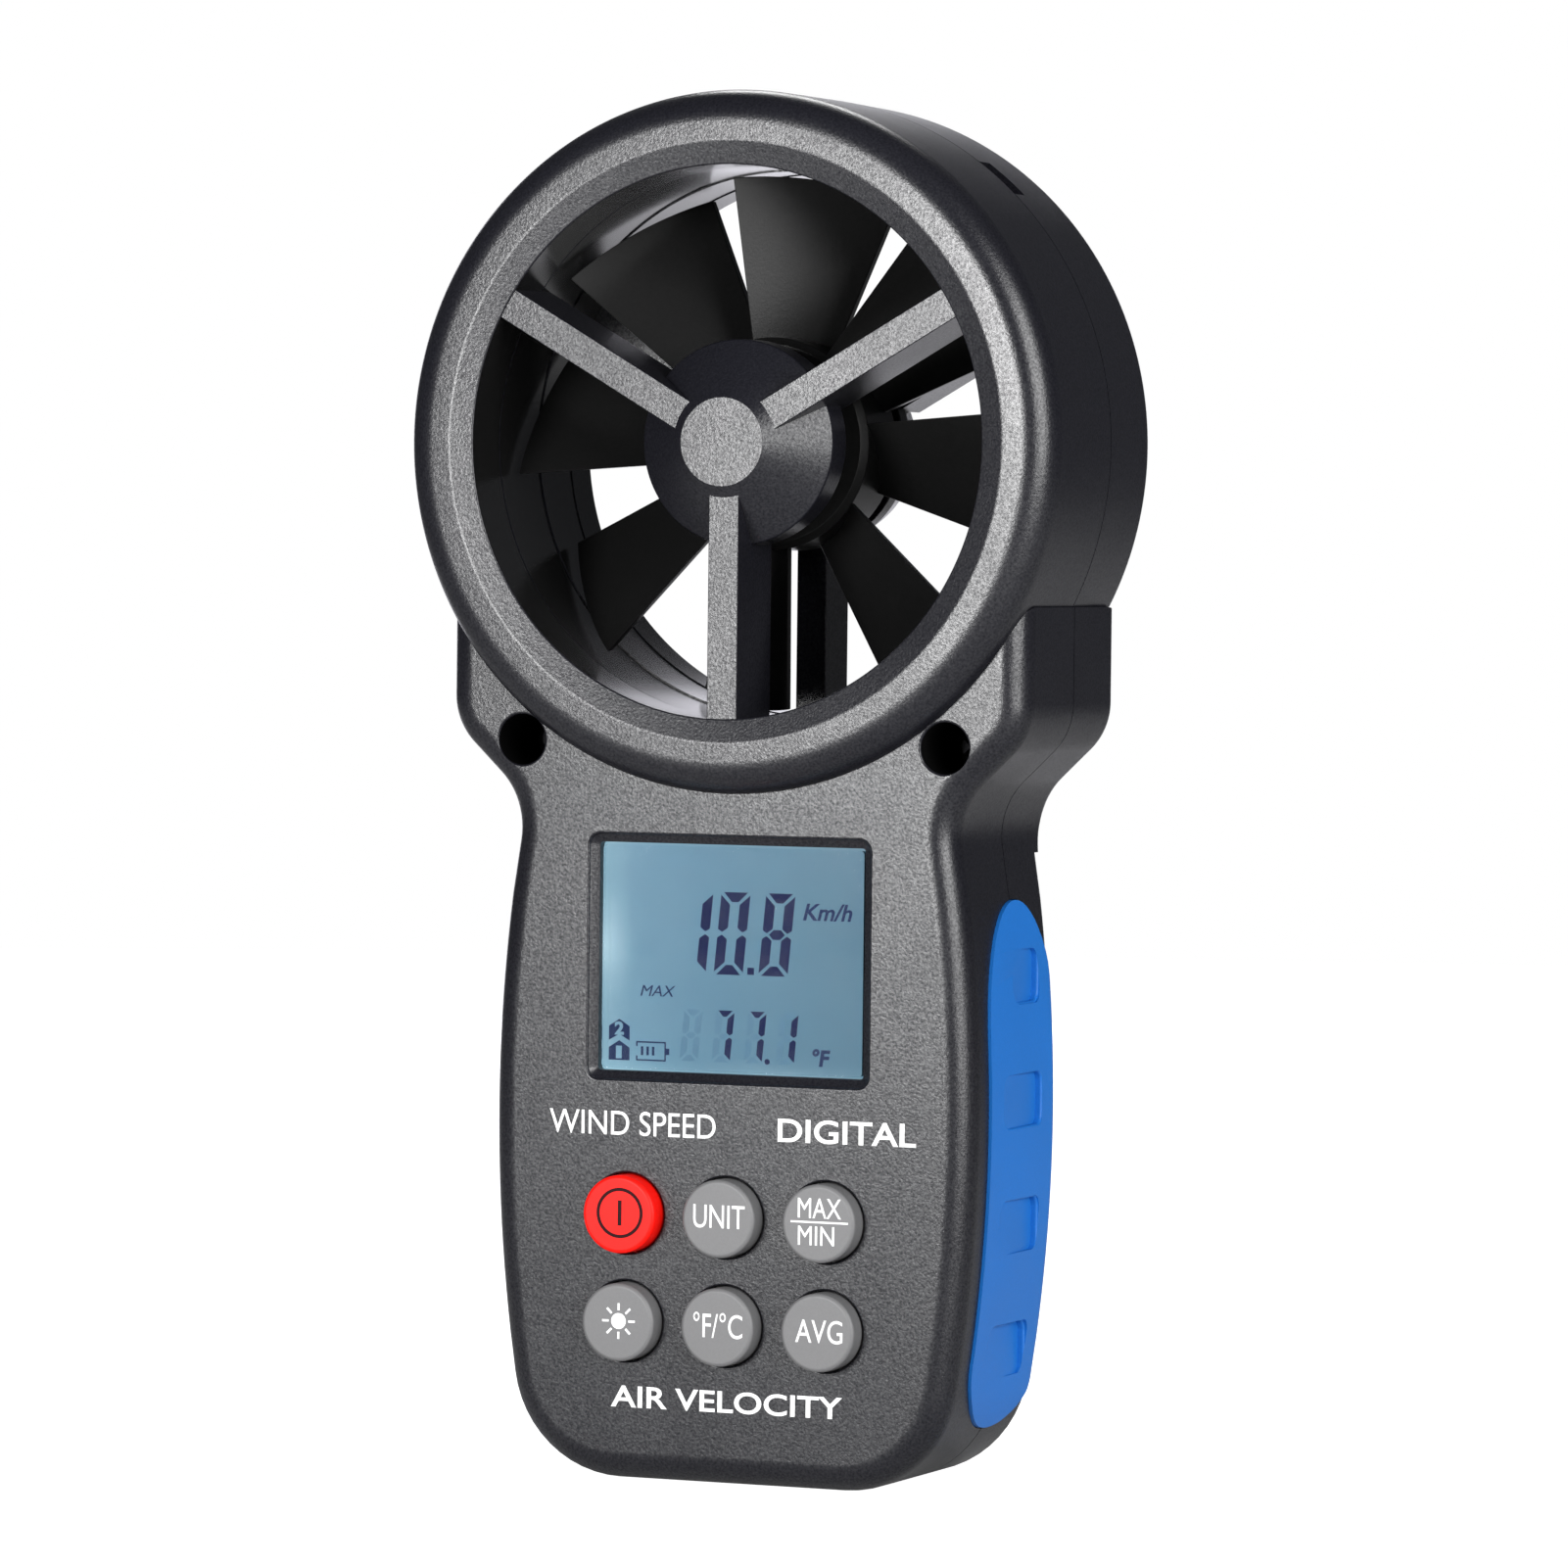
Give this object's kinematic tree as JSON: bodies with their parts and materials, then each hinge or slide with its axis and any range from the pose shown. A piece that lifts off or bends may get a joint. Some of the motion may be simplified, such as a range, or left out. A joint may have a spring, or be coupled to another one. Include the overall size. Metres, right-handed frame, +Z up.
{
  "type": "handheld vane anemometer",
  "caption": "Handheld wind-speed meter: a free-spinning vane rotor in an air ring above a handle with a display, round push buttons and ribbed side grips.",
  "frame": {"origin": "middle of the bounding box's bottom, under the handle's foot", "axes": "+Z up along the handle to the air ring, -Y is the display side, +X is on the right of someone facing the display"},
  "size_m": [0.083, 0.035, 0.165],
  "materials": {
    "case_plastic": "fine satin texture, charcoal",
    "rotor_plastic": "satin black",
    "grip_rubber": "soft satin blue",
    "button_grey": "satin grey with printed legends",
    "button_red": "satin red with a printed legend",
    "steel": "machined",
    "brass": "turned",
    "lens_clear": "clear, polished",
    "lcd_glass": "backlit liquid-crystal display",
    "diffuser_white": "milky white",
    "board_green": "solder mask",
    "battery_skin": "printed wrap",
    "black_rubber": "soft black",
    "black_plastic": "moulded black",
    "red_insulation": "soft insulation"
  },
  "bodies": {
    "case": {"front_case": "case_plastic", "rear_case": "case_plastic", "front_bearing": "brass", "rear_bearing": "brass", "pickup_board": "board_green", "pickup_sensor": "black_plastic", "pickup_cable": "black_rubber", "thermistor": "black_plastic", "lcd_lens": "lens_clear", "lcd_glass": "lcd_glass", "lcd_backlight": "diffuser_white", "lcd_contact_strip": "black_rubber", "main_board": "board_green", "processor": "black_plastic", "board_screw_1": "steel", "board_screw_2": "steel", "board_screw_3": "steel", "board_screw_4": "steel", "upper_screw_left": "steel", "upper_screw_right": "steel", "lower_screw_left": "steel", "lower_screw_right": "steel", "left_grip": "grip_rubber", "right_grip": "grip_rubber", "battery": "battery_skin", "battery_snap": "black_rubber", "red_battery_lead": "red_insulation", "black_battery_lead": "black_rubber", "tripod_insert": "brass", "power_switch": "black_plastic", "unit_switch": "black_plastic", "max_min_switch": "black_plastic", "backlight_switch": "black_plastic", "temperature_switch": "black_plastic", "average_switch": "black_plastic"},
    "rotor_assembly": {"rotor": "rotor_plastic", "rotor_shaft": "steel", "rotor_magnet": "steel"},
    "battery_lid": {"battery_door": "case_plastic", "door_screw": "steel"},
    "power_key": {"power_button": "button_red"},
    "unit_key": {"unit_button": "button_grey"},
    "max_min_key": {"max_min_button": "button_grey"},
    "backlight_key": {"backlight_button": "button_grey"},
    "temperature_key": {"temperature_button": "button_grey"},
    "average_key": {"average_button": "button_grey"}
  },
  "joints": [
    {"name": "rotor_spin", "type": "hinge", "parent": "case", "child": "rotor_assembly", "pos_m": [0, 0.0009, 0.1235], "axis": [0, 1, 0], "continuous": true},
    {"name": "battery_door_hinge", "type": "hinge", "parent": "case", "child": "battery_lid", "pos_m": [0, 0.015, 0.0625], "axis": [1, 0, 0], "range_deg": [0, 65]},
    {"name": "power_press", "type": "slide", "parent": "case", "child": "power_key", "axis": [0, 1, 0], "range_m": [0, 0.0008], "stiffness_N_per_m": 800, "springref_m": -0.0003},
    {"name": "unit_press", "type": "slide", "parent": "case", "child": "unit_key", "axis": [0, 1, 0], "range_m": [0, 0.0008], "stiffness_N_per_m": 800, "springref_m": -0.0003},
    {"name": "max_min_press", "type": "slide", "parent": "case", "child": "max_min_key", "axis": [0, 1, 0], "range_m": [0, 0.0008], "stiffness_N_per_m": 800, "springref_m": -0.0003},
    {"name": "backlight_press", "type": "slide", "parent": "case", "child": "backlight_key", "axis": [0, 1, 0], "range_m": [0, 0.0008], "stiffness_N_per_m": 800, "springref_m": -0.0003},
    {"name": "temperature_press", "type": "slide", "parent": "case", "child": "temperature_key", "axis": [0, 1, 0], "range_m": [0, 0.0008], "stiffness_N_per_m": 800, "springref_m": -0.0003},
    {"name": "average_press", "type": "slide", "parent": "case", "child": "average_key", "axis": [0, 1, 0], "range_m": [0, 0.0008], "stiffness_N_per_m": 800, "springref_m": -0.0003}
  ]
}
